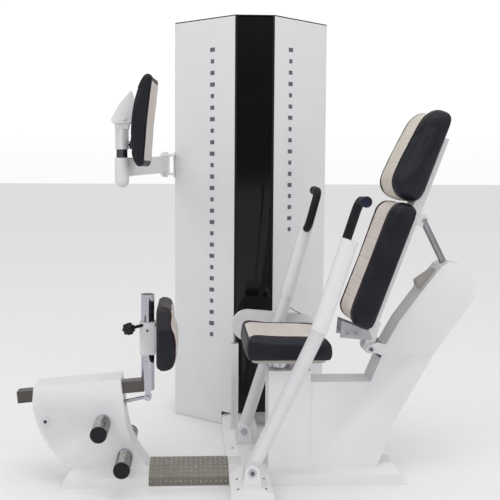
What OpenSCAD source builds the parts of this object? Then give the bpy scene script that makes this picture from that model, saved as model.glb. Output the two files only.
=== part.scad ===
// Two-station weight-stack machine: a seated press station on the right, a
// standing pad station on the left and a tower with the weight stack behind.
// X runs along the main rail, Y away from the user side, Z up, in millimetres.
// The origin is on the floor where the rail and the cross beam meet.

/* [Base] */
// Left end of the main rail on the floor
rail_left = -702; // [-760:1:-690]
// Right end of the main rail on the floor
rail_right = 598; // [596:1:680]
// Height of the rail and of the cross beam
base_h = 64; // [62:1:66]
// Half-depth of the rail at the floor
rail_half = 93; // [90:1:100]
// Front end of the cross beam
beam_front = -262; // [-300:1:-250]

/* [Tower] */
// Height of the tower
tower_h = 1860; // [1800:5:2000]
// Centre of the tower along X
tower_x = 64; // [60:1:70]
// Distance of the window's front plane
window_y = 540; // [535:1:560]
// Half-width of the window opening
window_half = 88; // [80:1:95]
// Half-width of the tower at its side corners
tower_half = 358; // [350:1:365]
// Distance of the side corners
corner_y = 744; // [735:1:760]
// Distance of the flat back
tower_back = 935; // [925:1:960]
// Thickness of the sheet-metal panels
panel_t = 3; // [2:0.5:4]
// Number of plates that stay in the stack
rest_plates = 9; // [4:1:10]
// Number of plates that lift at the chosen setting
lift_plates_n = 5; // [2:1:6]

/* [Press arms] */
// Height of the arm pivots
pivot_z = 114; // [112:1:118]
// Distance of each arm foot from the rail centre
foot_y = 206; // [200:1:212]
// Distance of each upper sleeve from the rail centre
sleeve_y = 315; // [300:1:325]
// Lean of the near arm's lower tube from upright
near_lean = 22.5; // [20:0.5:24]
// Lean of the far arm's lower tube from upright
far_lean = 19.5; // [18:0.5:24]
// Bend back to upright between lower tube and sleeve
elbow_bend = 4.5; // [3:0.5:6]
// Length of the lower tube seen from the side
lower_len = 560; // [540:5:580]
// Length of the upper sleeve
sleeve_len = 328; // [320:1:340]
// Diameter of the lower tube
arm_d = 50; // [46:1:52]
// Diameter of the sleeve
sleeve_d = 57; // [56:1:60]
// Diameter of the grips
grip_d = 33; // [30:1:34]

/* [Seat station] */
// Half-thickness of the seat shell
shell_half = 56; // [50:1:60]
// Top of the front column
column_top = 428; // [424:1:430]
// Diameter of the seat post
post_d = 80; // [70:1:84]
// Length of the seat cushion
seat_len = 322; // [300:1:330]
// Half-width of the seat cushion
seat_half = 182; // [170:1:190]
// Height of the seat board's underside
seat_z = 484; // [480:1:490]
// Recline of the backrest from upright
recline = 20.2; // [19:0.1:21]
// Half-width of the back cushion
back_half = 150; // [130:1:160]

/* [Pad station] */
// Half-thickness of the peg housing
housing_half = 56; // [50:1:60]
// Diameter of the foot pegs
peg_d = 60; // [54:1:62]
// Reach of the pegs past the housing
peg_reach = 144; // [120:1:160]
// Tilt of the sliding square tube
tube_tilt = 5; // [4:0.5:6]
// Side of the sliding square tube
tube_side = 44; // [42:1:46]
// Diameter of the knee-pad post
knee_post_d = 50; // [48:1:52]
// Centre of the knee-pad post along X
knee_x = -380; // [-384:1:-376]
// Centre of the chest-pad post along X
chest_x = -474; // [-478:1:-470]

// Diameter of the chest-pad post
chest_d = 41; // [38:0.5:42]

/* [Hidden] */

wall = 3;
rail_top_half = 40;
rail_side = 40;
beam_half = 75;
beam_top_half = 23;
beam_side = 44;
end_slope = 44;     // run of the bevelled rail ends
rod_y = 715;        // weight stack centre
rod_off = 60;
plate_w = 172;
plate_d = 100;
plate_h = 24;
plate_gap = 1;
stack_z = 150;      // underside of the lowest plate
cable_d = 5;
down_x = -29.5;    // cable run down from the top pulley
top_pulley_r = (tower_x - down_x) / 2;
pulley_x = (tower_x + down_x) / 2;
beam_back = 745;
base_pulley_r = 20;
base_pulley_z = 30;
top_pulley_z = 1706;
grip_off = 50;      // grip bar inboard of the sleeve
grip_bend = 34;
guard_y = 366;
back_x = 440;       // lower rear edge of the back cushion
back_z = 583;
hinge_x = 458;      // backrest pivot
hinge_z = 507;
white = [0.84, 0.84, 0.86];
beige = [0.80, 0.78, 0.74];
chrome = [0.70, 0.71, 0.74];
black = [0.05, 0.05, 0.06];
leather = [0.08, 0.08, 0.11];
steel = [0.45, 0.46, 0.48];

// ---------- shared shapes ----------

// a prism drawn in the XZ plane, from y0 to y1
module slab(y0, y1, pts) {
    translate([0, y1, 0]) rotate([90, 0, 0]) linear_extrude(y1 - y0) polygon(pts);
}

// a block with rounded corners seen from above
module round_block(w, d, h, r) {
    linear_extrude(h) round_rect(w, d, r);
}

module round_rect(w, d, r) {
    square([w - 2 * r, d], center = true);
    square([w, d - 2 * r], center = true);
    for (sx = [-1, 1], sy = [-1, 1])
        translate([sx * (w / 2 - r), sy * (d / 2 - r)]) circle(r, $fn = 48);
}

// points of an arc about (cx, cz)
function arc(cx, cz, r, a0, a1, n) =
    [for (i = [0:n]) [cx + r * cos(a0 + (a1 - a0) * i / n), cz + r * sin(a0 + (a1 - a0) * i / n)]];

// a cylinder along Y from y0 to y1
module y_rod(x, z, d, y0, y1, fn = 64) {
    translate([x, y1, z]) rotate([90, 0, 0]) cylinder(d = d, h = y1 - y0, $fn = fn);
}

// a ring segment in the XZ plane at depth y: centre (x, z), radius r, from a0 over sweep
module xz_bend(x, y, z, r, d, a0, sweep, fn = 24) {
    translate([x, y, z]) rotate([90, 0, 0]) rotate([0, 0, a0])
        rotate_extrude(angle = sweep, $fn = 48) translate([r, 0]) circle(d = d, $fn = fn);
}

// ---------- base ----------

module profile_block(half, side, top_half, h, l) {
    rotate([90, 0, 90]) linear_extrude(l)
        polygon([[-half, 0], [half, 0], [half, side], [top_half, h], [-top_half, h], [-half, side]]);
}

module rail_solid(grow = 0) {
    intersection() {
        translate([rail_left, 0, 0])
            profile_block(rail_half, rail_side, rail_top_half, base_h, rail_right - rail_left);
        slab(-rail_half - 1, rail_half + 1, [[rail_left, 0], [rail_right, 0],
            [rail_right - end_slope, base_h], [rail_left + end_slope, base_h]]);
    }
}

module rail_core() {
    intersection() {
        translate([rail_left, 0, -1])
            profile_block(rail_half - wall, rail_side - wall, rail_top_half - 1,
                base_h - wall + 1, rail_right - rail_left);
        slab(-rail_half, rail_half, [[rail_left + 5, -2], [rail_right - 5, -2],
            [rail_right - end_slope - 5, base_h], [rail_left + end_slope + 5, base_h]]);
    }
}

module beam_solid() {
    rotate([0, 0, 90]) translate([beam_front, 0, 0])
        profile_block(beam_half, beam_side, beam_top_half, base_h, beam_back - beam_front);
}

module beam_core() {
    rotate([0, 0, 90]) translate([beam_front + wall, 0, -1])
        profile_block(beam_half - wall, beam_side - wall, beam_top_half - 1,
            base_h - wall + 1, beam_back - beam_front - 2 * wall);
}

module main_rail() {
    color(white) difference() {
        rail_solid();
        rail_core();
        beam_solid();
    }
}

// hollow beam with holes where the cable goes in and out
module cross_beam() {
    color(white) difference() {
        beam_solid();
        difference() {
            beam_core();
            translate([-beam_half, -40, -2]) cube([2 * beam_half, 80, 6]);
        }
        for (y = [guard_y, rod_y]) translate([down_x, y, 30]) cylinder(d = 12, h = 60, $fn = 32);
    }
}

// rubber strips under the ends, flush with the floor
module floor_pads() {
    color(black) {
        for (x = [rail_left + 12, rail_right - 52])
            translate([x, -rail_half + wall + 1, 0]) cube([40, 2 * rail_half - 2 * wall - 2, 8]);
        translate([-beam_half + wall + 1, beam_front + wall + 6, 0])
            cube([2 * (beam_half - wall) - 2, 40, 8]);
    }
}

// chequered cladding over the rail between housing and beam
module tread_plate() {
    t = 1.5;
    color(chrome) difference() {
        translate([-372, 0, 0]) profile_block(rail_half + t, rail_side + 0.6, rail_top_half + 0.6,
            base_h + t, 372 - beam_half);
        translate([-373, 0, -1])
            profile_block(rail_half + 0.02, rail_side + 1.01, rail_top_half, base_h + 1.02, 400);
        translate([-400, -200, -1]) cube([400, 400, 9]);
        beam_solid();
    }
}

// ---------- tower ----------

function tower_outline(i) = let (r = 16 - i)
    concat([[tower_x - window_half, window_y + i]],
        arc(tower_x - tower_half + 16, corner_y + 9, r, 245, 180, 5),
        arc(tower_x - tower_half + 16, tower_back - 16, r, 180, 90, 5),
        arc(tower_x + tower_half - 16, tower_back - 16, r, 90, 0, 5),
        arc(tower_x + tower_half - 16, corner_y + 9, r, 0, -65, 5),
        [[tower_x + window_half, window_y + i]]);

module tower_ring(h) {
    difference() {
        linear_extrude(h) polygon(tower_outline(0));
        translate([0, 0, -1]) linear_extrude(h + 2) polygon(tower_outline(panel_t));
        translate([tower_x - window_half, window_y - 10, -1])
            cube([2 * window_half, 60, h + 2]);
    }
}

panel_low = 8;

module tower_side(side) {
    color(white) difference() {
        translate([0, 0, panel_low]) tower_ring(tower_h - panel_low - 3);
        translate([tower_x - (side < 0 ? 0 : 600), 400, 0]) cube([600, 700, 2100]);
        beam_clear();
    }
}

module beam_clear() {
    translate([-beam_half - 1, 400, -1]) cube([2 * beam_half + 2, beam_back - 399, base_h + 1]);
}

module tower_left_panel() { tower_side(-1); }
module tower_right_panel() { tower_side(1); }

// smoked pane, bowed forward a little
bow_r = 420;
pane_half = window_half - 10;
module tower_window() {
    color(black) translate([0, 0, 72]) linear_extrude(tower_h - 80) intersection() {
        translate([tower_x, window_y + 2 + sqrt(bow_r * bow_r - pane_half * pane_half)])
            difference() {
                circle(bow_r, $fn = 180);
                circle(bow_r - 4, $fn = 180);
            }
        translate([tower_x - pane_half, window_y - 20]) square([2 * pane_half, 40]);
    }
}

// dark strips beside the window and the roof plate over the panels
module tower_trims() {
    color(black) {
        difference() {
            for (s = [-1, 1])
                translate([tower_x + s * (window_half - 5) - 4.8, window_y - 2, 68])
                    cube([9.6, 22, tower_h - 71]);
            translate([tower_x - pane_half - 0.2, window_y - 20, 71.8])
                cube([2 * pane_half + 0.4, 60, tower_h]);
        }
        translate([0, 0, tower_h - 3]) linear_extrude(5) polygon(tower_outline(0));
    }
}

// floor tray that carries the stack over the beam's end
module tower_base() {
    color(white) difference() {
        intersection() {
            linear_extrude(70) polygon(tower_outline(panel_t + 0.5));
            translate([tower_x - 400, window_y + 40, 0]) cube([800, 400, 70]);
        }
        intersection() {
            translate([0, 0, -1]) linear_extrude(65) polygon(tower_outline(panel_t + 6));
            translate([tower_x - 400, window_y + 46, -1]) cube([800, 400, 65]);
        }
        for (s = [-1, 1]) translate([tower_x + s * rod_off, rod_y, 50])
            cylinder(d = 20.04, h = 30, $fn = 48);
        translate([down_x, rod_y, 50]) cylinder(d = 16, h = 40, $fn = 32);
        beam_clear();
    }
}

// cross head on the rods, with lugs for the pulley axle
head_z = 1640;
module cross_head() {
    color(steel) {
        difference() {
            translate([tower_x - 110, rod_y - 40, head_z]) cube([220, 80, 12]);
            for (s = [-1, 1]) translate([tower_x + s * rod_off, rod_y, head_z - 1])
                cylinder(d = 20.04, h = 14, $fn = 48);
            for (x = [tower_x, down_x]) translate([x, rod_y, head_z - 1])
                cylinder(d = 9, h = 14, $fn = 32);
        }
        for (s = [-1, 1]) difference() {
            translate([pulley_x - 30, rod_y + s * 24 - 4, head_z + 12])
                cube([60, 8, top_pulley_z - head_z + 8]);
            y_rod(pulley_x, top_pulley_z, 16.04, rod_y + s * 24 - 5, rod_y + s * 24 + 5);
        }
    }
}

module guide_rods() {
    color(chrome) for (s = [-1, 1]) translate([tower_x + s * rod_off, rod_y, 64])
        cylinder(d = 20, h = head_z + 12 - 64, $fn = 48);
}

// rubber rings that the stack rests on
module stack_bumpers() {
    color(black) for (s = [-1, 1]) translate([tower_x + s * rod_off, rod_y, 70])
        difference() {
            cylinder(d = 42, h = stack_z - 70, $fn = 48);
            translate([0, 0, -1]) cylinder(d = 20.6, h = stack_z, $fn = 48);
        }
}

module plates(first, count) {
    for (i = [first:first + count - 1])
        translate([tower_x, rod_y, stack_z + i * (plate_h + plate_gap)]) difference() {
            round_block(plate_w, plate_d, plate_h, 8);
            for (s = [-1, 1]) translate([s * rod_off, 0, -1]) cylinder(d = 21, h = plate_h + 2, $fn = 48);
            translate([0, 0, -1]) cylinder(d = 27, h = plate_h + 2, $fn = 48);
            translate([0, 0, plate_h / 2]) rotate([90, 0, 0])
                cylinder(d = 11, h = plate_d / 2, $fn = 32);
        }
}

module weight_plates() { color(black) plates(0, rest_plates); }
module lift_plates() { color(black) plates(rest_plates, lift_plates_n); }

stack_top = stack_z + (rest_plates + lift_plates_n) * (plate_h + plate_gap);
pin_z = stack_z + rest_plates * (plate_h + plate_gap) + plate_h / 2;
stem_d = 24;

module selector_stem() {
    color(chrome) {
        difference() {
            union() {
                translate([tower_x, rod_y, pin_z - 150]) cylinder(d = stem_d, h = stack_top - pin_z + 150, $fn = 48);
                translate([tower_x, rod_y, stack_top]) cylinder(d = 40, h = 16, $fn = 48);
                translate([tower_x, rod_y, stack_top + 16]) cylinder(d = 16, h = 30, $fn = 48);
            }
            y_rod(tower_x, pin_z, 10.1, rod_y - 30, rod_y + 30, 48);
        }
    }
}

module selector_pin() {
    front = rod_y - plate_d / 2;
    color(chrome) y_rod(tower_x, pin_z, 10, front - 14, rod_y + 12, 48);
    color(black) y_rod(tower_x, pin_z, 22, front - 44, front - 14, 48);
}

// a grooved wheel about Z: r is the radius of the cable's centre line
module wheel(r, w, bore) {
    groove = r - cable_d / 2 - 0.3;
    rotate_extrude($fn = 96) polygon([[bore / 2, -w / 2], [r + 4, -w / 2], [r + 4, -w / 2 + 1.5],
        [groove, -2.9], [groove, 2.9], [r + 4, w / 2 - 1.5], [r + 4, w / 2], [bore / 2, w / 2]]);
}

module pulley(x, y, z, r, w, bore) {
    translate([x, y, z]) rotate([90, 0, 0]) wheel(r, w, bore);
}

module top_pulley() {
    color(black) pulley(pulley_x, rod_y, top_pulley_z, top_pulley_r, 18, 16.12);
}

base_pulley_ys = [guard_y + base_pulley_r, rod_y - base_pulley_r];

module base_pulley(y) {
    color(black) translate([down_x, y, base_pulley_z]) rotate([0, 90, 0]) wheel(base_pulley_r, 14, 10.12);
}

module front_base_pulley() { base_pulley(base_pulley_ys[0]); }
module rear_base_pulley() { base_pulley(base_pulley_ys[1]); }

// fixed axles of the top, base and guard pulleys
module pulley_axles() {
    color(chrome) {
        y_rod(pulley_x, top_pulley_z, 16, rod_y - 30, rod_y + 30, 48);
        for (y = base_pulley_ys)
            translate([-beam_half + wall + 0.2, y, base_pulley_z]) rotate([0, 90, 0])
                cylinder(d = 10, h = 2 * (beam_half - wall) - 0.4, $fn = 48);
        for (p = [guard_big, guard_small])
            y_rod(p[0], p[1], 10, guard_y - 16, guard_y + 16, 48);
    }
}

// ---------- pulley guard, channel and cable ----------

big_r = 54.5;
small_r = 28;
guard_big = [down_x + big_r, 512];
guard_small = [268, 520];
hook_t = 0.93;      // place of the cable hook along the far arm's lower tube
hook_x = hook_t * lower_len * sin(far_lean);
hook_z = pivot_z + hook_t * lower_len * cos(far_lean);

// teardrop cover: round at the channel, narrow behind the backrest
module pulley_guard() {
    color(white) difference() {
        translate([0, guard_y + 14, 0]) rotate([90, 0, 0]) linear_extrude(28) guard_shape(0);
        translate([0, guard_y + 11, 0]) rotate([90, 0, 0]) linear_extrude(22) guard_shape(3);
        translate([guard_small[0] - 50, guard_y - 5, guard_small[1] + 20]) cube([50, 10, 40]);
        translate([down_x - 6, guard_y - 5, guard_big[1] - 90]) cube([12, 10, 70]);
        for (p = [guard_big, guard_small])
            y_rod(p[0], p[1], 10.04, guard_y - 20, guard_y + 20, 48);
    }
}

module guard_shape(inset) {
    r0 = 66 - inset;
    r1 = 38 - inset;
    dx = guard_small[0] - guard_big[0];
    dz = guard_small[1] - guard_big[1];
    l = sqrt(dx * dx + dz * dz);
    a = atan2(dz, dx);
    b = acos((r0 - r1) / l);
    translate(guard_big) rotate([0, 0, a])
        polygon(concat(arc(0, 0, r0, b, 360 - b, 36), arc(l, 0, r1, -b, b, 16)));
}

module guard_big_pulley() {
    color(black) pulley(guard_big[0], guard_y, guard_big[1], big_r, 14, 10.12);
}

module guard_small_pulley() {
    color(black) pulley(guard_small[0], guard_y, guard_small[1], small_r, 14, 10.12);
}

// slender cover round the cable between the beam and the guard
module cable_channel() {
    color(white) difference() {
        translate([down_x - 16, guard_y - 12, 20]) cube([32, 24, 432 - 20]);
        translate([down_x - 13, guard_y - 9, 10]) cube([26, 18, 500]);
        beam_solid();
    }
    color(chrome) y_rod(down_x, 200, 14, guard_y - 17, guard_y - 12, 32);
}

// a straight cable run between two points of a plane along Y
module xz_run(y, a, b) {
    d = b - a;
    translate([a[0], y, a[1]]) rotate([0, atan2(d[0], d[1]), 0]) translate([0, 0, 0.03])
        cylinder(d = cable_d, h = norm(d) - 0.06, $fn = 32);
}

function on_circle(c, r, a) = c + r * [cos(a), sin(a)];

// run of the cable that shortens as the stack rises
module stack_cable() {
    color(steel) translate([tower_x, rod_y, stack_top + 46.05])
        cylinder(d = cable_d, h = top_pulley_z - stack_top - 46.1, $fn = 32);
}

// steel cable: over the top pulley, down into the beam, up
// the channel and round the guard pulleys to the far arm
module lift_cable() {
    gap = guard_small - guard_big;
    cross = atan2(gap[1], gap[0]) + acos((big_r + small_r) / norm(gap));
    pull = [hook_x, hook_z] - guard_small;
    leave = atan2(pull[1], pull[0]) - acos(small_r / norm(pull));
    low_z = base_pulley_z - base_pulley_r;
    last = on_circle(guard_small, small_r, leave);
    color(steel) {
        xz_bend(pulley_x, rod_y, top_pulley_z, top_pulley_r, cable_d, 0, 180, 16);
        translate([down_x, rod_y, base_pulley_z])
            cylinder(d = cable_d, h = top_pulley_z - base_pulley_z, $fn = 16);
        for (m = [0, 1]) translate([down_x, base_pulley_ys[1 - m], base_pulley_z]) mirror([0, m, 0])
            rotate([90, 0, 90]) rotate([0, 0, -90]) rotate_extrude(angle = 90, $fn = 48)
                translate([base_pulley_r, 0]) circle(d = cable_d, $fn = 16);
        translate([down_x, base_pulley_ys[0], low_z]) rotate([-90, 0, 0])
            cylinder(d = cable_d, h = base_pulley_ys[1] - base_pulley_ys[0], $fn = 16);
        translate([down_x, guard_y, base_pulley_z])
            cylinder(d = cable_d, h = guard_big[1] - base_pulley_z - 0.03, $fn = 16);
        xz_bend(guard_big[0], guard_y, guard_big[1], big_r, cable_d, cross, 180 - cross, 32);
        xz_run(guard_y, on_circle(guard_big, big_r, cross), on_circle(guard_small, small_r, cross + 180));
        xz_bend(guard_small[0], guard_y, guard_small[1], small_r, cable_d, cross + 180, leave + 180 - cross, 32);
        xz_run(guard_y, last, last + (sqrt(pull * pull - small_r * small_r) - 8) * [-sin(leave), cos(leave)]);
    }
}

// ---------- press arms ----------

bracket_out = 34;   // outer half-width of a bracket along Y

module arm_brackets() {
    color(white) for (side = [-1, 1]) translate([0, side * foot_y, 0]) for (s = [-1, 1])
        difference() {
            translate([0, s * (bracket_out - 3), 0]) {
                slab(-3, 3, [[-35, base_h - 20], [35, base_h - 20], [26, pivot_z], [-26, pivot_z]]);
                y_rod(0, pivot_z, 52, -3, 3, 96);
            }
            y_rod(0, pivot_z, 16.04, -60, 60, 48);
            translate([0, -side * foot_y, 0]) beam_solid();
        }
}

// pins of both arms and of the backrest
module pivot_bolts() {
    color(chrome) {
        for (side = [-1, 1]) translate([0, side * foot_y, 0]) {
            y_rod(0, pivot_z, 16, -bracket_out - 2, bracket_out + 2, 48);
            for (s = [-1, 1]) translate([0, s * (bracket_out + 3), 0]) y_rod(0, pivot_z, 26, -3, 3, 64);
        }
        y_rod(hinge_x, hinge_z, 14, -shell_half - 1, shell_half + 1, 48);
        for (s = [-1, 1]) translate([0, s * (shell_half + 3), 0]) y_rod(hinge_x, hinge_z, 22, -3, 3, 64);
    }
}

// near side is -1, far side is 1; the tube leans outwards up to the elbow
module arm_tube(side, lean) {
    ex = lower_len * sin(lean);
    ez = lower_len * cos(lean);
    out = sleeve_y - foot_y;
    up = lean - elbow_bend;
    run = norm([ex, out, ez]);
    difference() {
        union() {
            translate([0, side * foot_y, pivot_z]) {
                y_rod(0, 0, arm_d, -25, 25, 64);
                rotate([0, 0, atan2(side * out, ex)]) rotate([0, acos(ez / run), 0])
                    cylinder(d = arm_d, h = run, $fn = 64);
            }
            translate([ex, side * sleeve_y, pivot_z + ez]) {
                sphere(d = arm_d + 0.3, $fn = 64);
                rotate([0, up, 0]) cylinder(d = arm_d, h = sleeve_len - 12, $fn = 64);
            }
            if (side > 0) y_rod(hook_x, hook_z, 12, sleeve_y, guard_y + 8, 32);
        }
        translate([0, side * foot_y, 0]) y_rod(0, pivot_z, 16.1, -40, 40, 64);
        for (s = [-1, 1]) translate([-60, side * foot_y + (s > 0 ? 27 : -87), pivot_z - 60])
            cube([120, 60, 100]);
    }
}

module arm_frame(side, lean) {
    translate([lower_len * sin(lean), side * sleeve_y, pivot_z + lower_len * cos(lean)])
        rotate([0, lean - elbow_bend, 0]) children();
}

module arm_sleeve(side, lean) {
    arm_frame(side, lean) difference() {
        translate([0, 0, 2]) cylinder(d = sleeve_d, h = sleeve_len - 2, $fn = 64);
        translate([0, 0, -5]) cylinder(d = arm_d + 0.6, h = sleeve_len - 6, $fn = 64);
    }
}

// C-shaped grip: short leg into the sleeve, bar inboard, long leg outwards
module arm_grip(side, lean) {
    bar = 128;
    low = sleeve_len - 26;
    r = grip_bend;
    color(black) arm_frame(side, lean) mirror([0, side > 0 ? 1 : 0, 0]) translate([0, 0, low]) {
        difference() {
            translate([0, grip_off - r, r]) rotate([0, 90, 0]) rotate_extrude(angle = 90, $fn = 48)
                translate([r, 0]) circle(d = grip_d, $fn = 32);
            translate([0, 0, -60]) cylinder(d = sleeve_d + 0.4, h = 120, $fn = 64);
        }
        translate([0, grip_off, r]) cylinder(d = grip_d, h = bar - r, $fn = 32);
        translate([0, grip_off - r, bar]) rotate([0, 90, 0]) rotate([0, 0, 90])
            rotate_extrude(angle = 90, $fn = 48) translate([r, 0]) circle(d = grip_d, $fn = 32);
        translate([0, grip_off - r, bar + r]) rotate([90, 0, 0]) cylinder(d = grip_d, h = 58, $fn = 32);
        translate([0, grip_off - r - 58, bar + r]) rotate([90, 0, 0]) cylinder(d = grip_d + 4, h = 9, $fn = 48);
    }
}

module near_arm_tube() { color(white) arm_tube(-1, near_lean); }
module near_sleeve() { color(white) arm_sleeve(-1, near_lean); }
module near_grip() { arm_grip(-1, near_lean); }
module far_arm_tube() { color(white) arm_tube(1, far_lean); }
module far_sleeve() { color(white) arm_sleeve(1, far_lean); }
module far_grip() { arm_grip(1, far_lean); }

// ---------- seat station ----------

shell_pts = [[232, 50], [232, 383], [460, 383], [500, 482], [478, 492], [446, 494], [440, 507],
    [446, 520], [484, 531], [515, 525], [564, 613], [661, 744], [722, 820], [748, 836], [795, 826],
    [835, 791], [851, 752], [845, 692], [698, 489], [548, 223], [487, 50]];
shell_room = [[236, 40], [236, 379], [463, 379], [507, 480], [522, 518], [569, 611], [666, 741],
    [727, 816], [749, 831], [792, 821], [831, 788], [846, 752], [840, 693], [694, 491],
    [544, 225], [483, 40]];

module seat_shell() {
    color(white) difference() {
        slab(-shell_half, shell_half, shell_pts);
        slab(-shell_half + wall, shell_half - wall, shell_room);
        translate([425, -shell_half + 8, 470]) cube([82, 2 * shell_half - 16, 70]);
        rail_solid();
        y_rod(hinge_x, hinge_z, 14.04, -80, 80, 48);
        translate([strut_foot[0], 0, strut_foot[1]]) rotate([0, strut_tilt, 0])
            translate([0, 0, -40]) cylinder(d = strut_d + 6, h = 120, $fn = 48);
    }
}

strut_d = 25;
strut_foot = [745, 826];
strut_head = [663, 988];    // pin of the strut in its lug
strut_tilt = atan2(strut_head[0] - strut_foot[0], strut_head[1] - strut_foot[1]);

module seat_column() {
    color(white) difference() {
        translate([74, -62, 50]) cube([157.6, 124, column_top - 50]);
        translate([77, -59, 40]) cube([151.6, 118, column_top - 43]);
        translate([post_x, 0, 300]) cylinder(d = post_d + 0.12, h = 200, $fn = 96);
        rail_solid();
        beam_solid();
    }
    color(white) difference() {
        translate([post_x, 0, 240]) cylinder(d = post_d + 10, h = column_top - 243, $fn = 96);
        translate([post_x, 0, 230]) cylinder(d = post_d + 0.12, h = 300, $fn = 96);
    }
}

post_x = 121;

module seat_post() {
    color(chrome) difference() {
        translate([post_x, 0, 250]) cylinder(d = post_d, h = seat_z - 256, $fn = 96);
        translate([post_x, 0, 240]) cylinder(d = post_d - 8, h = seat_z - 256, $fn = 64);
    }
}

module seat_board() {
    color(beige) translate([post_x + 20, 0, seat_z - 6]) round_block(270, 290, 14, 30);
}

module seat_cushion() {
    color(leather) translate([-22 + seat_len / 2, 0, seat_z + 8.3]) {
        round_block(seat_len, 2 * seat_half, 62, 34);
        translate([0, 0, 62]) round_block(seat_len - 30, 2 * seat_half - 50, 16, 30);
    }
}

// children drawn in the backrest's own frame: x forward off the cushion's
// back face, z up along it, from its lower rear edge
module on_back() {
    translate([back_x, 0, back_z]) rotate([0, recline, 0]) mirror([1, 0, 0]) children();
}

// upright beam behind the cushions with a fork at the hinge and plates
module backrest_frame() {
    fork = 22;
    color(white) {
        difference() {
            union() {
                on_back() translate([-38, -45, 20]) cube([37.7, 90, 750]);
                slab(-shell_half + 22, shell_half - 22, [[440, 520], [476, 520], [500, 600], [458, 590]]);
            }
            on_back() translate([-35, -42, 30]) cube([31.7, 84, 737]);
            slab(-18, 18, [[430, 500], [490, 500], [490, 560], [430, 560]]);
        }
        for (s = [-1, 1]) difference() {
            translate([0, s * (fork + 6), 0]) union() {
                y_rod(hinge_x, hinge_z, 44, -6, 6, 96);
                slab(-6, 6, [[hinge_x - 20, hinge_z], [hinge_x + 20, hinge_z], [480, 521], [441, 521]]);
            }
            y_rod(hinge_x, hinge_z, 14.04, -60, 60, 48);
        }
        for (s = [-1, 1]) difference() {
            translate([0, s * 18, 0]) on_back() translate([-70, -3, 432]) cube([32, 6, 48]);
            y_rod(strut_head[0], strut_head[1], 10.1, -60, 60, 48);
        }
    }
}

// grey plate with two holes below the cushion
module backrest_bracket() {
    color(steel) difference() {
        for (s = [-1, 1]) translate([0, s * 38, 0])
            slab(-3, 3, [[344, 548], [426, 540], [466, 540], [452, 574], [438, 578], [350, 612]]);
        for (x = [368, 402]) y_rod(x, 566, 10, -60, 60, 32);
    }
    color(steel) translate([350, -35, 560]) cube([6, 70, 40]);
}

module backrest_cushion() {
    color(leather) on_back() translate([0.3, 0, 246]) rotate([0, 90, 0]) {
        round_block(492, 2 * back_half, 66, 40);
        translate([0, 0, 66]) round_block(462, 2 * back_half - 56, 26, 36);
    }
}

module headrest_cushion() {
    color(leather) on_back() translate([0.3, 0, 0]) {
        translate([0, 0, 677]) rotate([0, 90, 0]) {
            round_block(350, 2 * back_half - 20, 62, 60);
            translate([20, 0, 62]) round_block(270, 2 * back_half - 70, 50, 50);
        }
    }
}

// strut from the lug on the back beam into the top of the shell
module recline_strut() {
    l = norm(strut_head - strut_foot);
    color(steel) {
        translate([strut_foot[0], 0, strut_foot[1]]) rotate([0, strut_tilt, 0])
            translate([0, 0, -45]) cylinder(d = strut_d, h = l + 33, $fn = 64);
        y_rod(strut_head[0], strut_head[1], 26, -14, 14, 64);
        y_rod(strut_head[0], strut_head[1], 10, -24, 24, 48);
        for (s = [-1, 1]) y_rod(strut_head[0], strut_head[1], 16, s * 25 - 3, s * 25 + 3, 6);
    }
}

// cover of the strut's latch on the inner edge of the shell
module latch_cover() {
    color(beige) difference() {
        slab(-22, 22, [[636, 760], [640, 738], [656, 731], [700, 772], [714, 806], [700, 804]]);
        slab(-60, 60, shell_pts);
    }
}

// ---------- pad station ----------

module housing_shape() {
    polygon(concat([[-798, 372], [-478, 398], [-470, 330]],
        arc(-103, 300, 362, 184, 221, 9), [[-374, 40]], [[-650, 40]],
        arc(-467, 340, 337, 235.5, 184, 10)));
}

module peg_housing() {
    c = cos(tube_tilt);
    color(white) difference() {
        translate([0, housing_half, 0]) rotate([90, 0, 0]) linear_extrude(2 * housing_half) housing_shape();
        intersection() {
            translate([0, housing_half - wall, 0]) rotate([90, 0, 0])
                linear_extrude(2 * (housing_half - wall)) housing_shape();
            translate([-788, -100, 40]) cube([310, 200, 318]);
        }
        rail_solid();
        slide_frame() translate([-20, -tube_side / 2 - 0.3, -tube_side / 2 - 0.3])
            cube([640, tube_side + 0.6, tube_side + 0.6]);
        translate([-520, -12, 279]) cube([70, 24, 43]);
        for (p = peg_places) y_rod(p[0], p[1], 24, -90, 90, 48);
        y_rod(-755, 243, 12, -90, 90, 48);
    }
    color(chrome) for (s = [-1, 1]) y_rod(-755, 243, 28, s * (housing_half + 3) - 3, s * (housing_half + 3) + 3, 48);
}

peg_places = [[-543, 239], [-462, 109]];
tube_start = [-866, 322];

module slide_frame() {
    translate([tube_start[0], 0, tube_start[1]]) rotate([0, -tube_tilt, 0]) children();
}

module slide_tube() {
    l = (knee_x - tube_start[0]) / cos(tube_tilt) - knee_post_d / 2 + 1;
    color(steel) difference() {
        slide_frame() difference() {
            translate([4, -tube_side / 2, -tube_side / 2]) cube([l + 20, tube_side, tube_side]);
            translate([5, -tube_side / 2 + 3, -tube_side / 2 + 3]) cube([l - 30, tube_side - 6, tube_side - 6]);
        }
        translate([knee_x, 0, 0]) cylinder(d = knee_post_d + 0.2, h = 800, $fn = 96);
    }
    color(black) slide_frame() translate([0, -tube_side / 2, -tube_side / 2]) cube([4, tube_side, tube_side]);
}

module knee_post() {
    color(chrome) difference() {
        union() {
            translate([knee_x, 0, 344]) cylinder(d = knee_post_d, h = 358, $fn = 96);
            for (s = [-1, 1]) translate([knee_x - 9, s * 14 - 3, 306]) cube([18, 6, 40]);
        }
        y_rod(knee_x, 316, 10.1, -40, 40, 48);
    }
    color(black) translate([knee_x, 0, 702]) cylinder(d = knee_post_d, h = 6, $fn = 96);
}

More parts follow.
